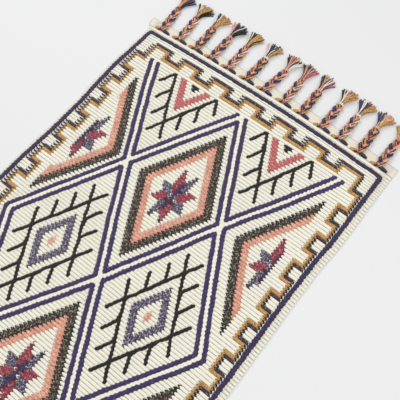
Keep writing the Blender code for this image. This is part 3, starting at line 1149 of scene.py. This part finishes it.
def brush_yarn(chance, place, layer, lean, bend, spread):
    """The points of one loose yarn, from the neck out over the floor."""
    length = BRUSH_LENGTH * chance.uniform(BRUSH_SHORTEST, BRUSH_LONGEST)
    length *= 1.0 - BRUSH_ROUNDNESS * place * place
    angle = BRUSH_FAN * spread * place + chance.uniform(-BRUSH_STRAY, BRUSH_STRAY)
    curl = chance.uniform(-BRUSH_CURL, BRUSH_CURL) + BRUSH_BEND * bend
    arch = LAYER_ARCH * (layer + 1) / BRUSH_LAYERS
    neck = NECK_RISE * (1.0 - min(1.0, abs(place)))
    x, y = lean + NECK_HALF * place, TIE_AT - NECK_OVERLAP
    points = []
    for step in range(BRUSH_STEPS + 1):
        share = step / BRUSH_STEPS
        z = LAYER_LOW + LAYER_RISE * layer + neck * (1.0 - share)
        points.append((x, y, z + arch * math.sin(math.pi * min(1.0, share * ARCH_PACE))))
        turn = angle * smooth_step(share * FAN_PACE) + curl * share
        x += length / BRUSH_STEPS * math.sin(turn)
        y += length / BRUSH_STEPS * math.cos(turn)
    return points


def build_brush(bm, lean, bend, spread, letters, chance):
    """The loose yarns past the tie, in layers, fanning out and lying down on the floor."""
    for layer in range(BRUSH_LAYERS):
        for number, letter in enumerate(letters):
            place = (number + 0.5 + chance.uniform(-0.5, 0.5)) / len(letters) * 2.0 - 1.0
            points = brush_yarn(chance, place, layer, lean, bend, spread)
            draw_yarn(bm, points, BRUSH_RADIUS, YARN_LETTERS[letter], BRUSH_SIDES, BRUSH_FRAYS)


def build_tie(bm, lean, slot):
    """Turns of yarn bound round the neck of the tassel."""
    for turn in range(TIE_TURNS):
        middle = Vector((lean, TIE_AT - TIE_STARTS + TIE_PITCH * turn, TIE_MIDDLE))
        rings = []
        for step in range(TIE_STEPS):
            angle = 2.0 * math.pi * step / TIE_STEPS
            out = Vector((TIE_HALF * math.cos(angle), 0.0, TIE_HALF_HEIGHT * math.sin(angle)))
            point = middle + out + TIE_SLANT * math.sin(angle) * ALONG
            rings.append(yarn_ring(bm, point, TIE_RADIUS, out.normalized(), ALONG, YARN_SIDES))
        skin(bm, rings, True, slot)


def build_tassels(wools):
    """Thirteen tassels on each end; the far ones are the near ones turned half round."""
    pieces = []
    for number, (stray, lean, bend, spread, letters, tie) in enumerate(TASSEL_ROWS):
        chance = random.Random(number + 1)
        bm = bmesh.new()
        for leg in ROOT_LEGS:
            build_leg(bm, *leg)
        build_plait(bm, lean, number)
        build_brush(bm, lean, bend, spread, letters, chance)
        build_tie(bm, lean, YARN_LETTERS[tie])
        across = FIRST_ROOT + number * ROOT_PITCH + stray
        near = finish_piece(bm, f"braided_tassel_near_{number + 1:02d}", wools)
        far = add_to_scene(f"braided_tassel_far_{number + 1:02d}", near.data.copy())
        for piece, direction, end in ((near, 1.0, "near"), (far, -1.0, "far")):
            x = direction * across
            y = direction * (RIBS_HALF + ROOT_PAST_RIBS - bow(x))
            turn = Matrix.Rotation(0.0 if direction > 0.0 else math.pi, 4, "Z")
            piece.data.transform(Matrix.Translation((x, y, 0.0)) @ turn)
            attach(piece, "root")
            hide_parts(f"tassel_{end}_{number + 1:02d}")
            pieces.append(piece)
    return pieces


# The stage

def add_lamp(name, place, aim, size, power):
    """A soft square light that faces the point it is aimed at."""
    light = bpy.data.lights.new(name, "AREA")
    light.size = size
    light.energy = power
    lamp = add_to_scene(name, light)
    lamp.location = place
    lamp.rotation_euler = (Vector(aim) - Vector(place)).to_track_quat("-Z", "Y").to_euler()


def build_stage():
    """A plain pale floor in a soft room."""
    bpy.ops.object.select_all(action="DESELECT")
    bpy.ops.mesh.primitive_plane_add(size=FLOOR_SIZE, location=(0.0, 0.0, FLOOR_TOP))
    floor = bpy.context.object
    floor.name = "floor"
    floor.data.materials.append(plain_stage("pale_painted_floor", "#D9D9DA"))
    for lamp in LAMPS:
        add_lamp(*lamp)
    world = bpy.data.worlds.new("soft_room")
    bpy.context.scene.world = world
    world.use_nodes = True
    sky = world.node_tree.nodes["Background"]
    sky.inputs["Color"].default_value = (1.0, 1.0, 1.0, 1.0)
    sky.inputs["Strength"].default_value = ROOM_LIGHT


def build_camera():
    """The photograph's view."""
    data = bpy.data.cameras.new("photo_view")
    data.lens = CAMERA_LENS
    data.sensor_width = SENSOR_WIDTH
    camera = add_to_scene("photo_view", data)
    aim = (Vector(CAMERA_LOOKS_AT) - Vector(CAMERA_AT)).to_track_quat("-Z", "Y").to_matrix().to_4x4()
    roll = Matrix.Rotation(CAMERA_ROLL, 4, "Z")
    camera.matrix_world = Matrix.Translation(CAMERA_AT) @ aim @ roll
    bpy.context.scene.camera = camera


def main():
    wools = make_wools()
    cloth = build_cloth(wools)
    lines = build_lines(wools)
    tassels = build_tassels(wools)
    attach(cloth, "root")
    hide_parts("rug")
    for piece in lines:
        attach(piece, "root")
    build_stage()
    build_camera()
    bpy.context.scene.view_settings.view_transform = "Standard"


main()
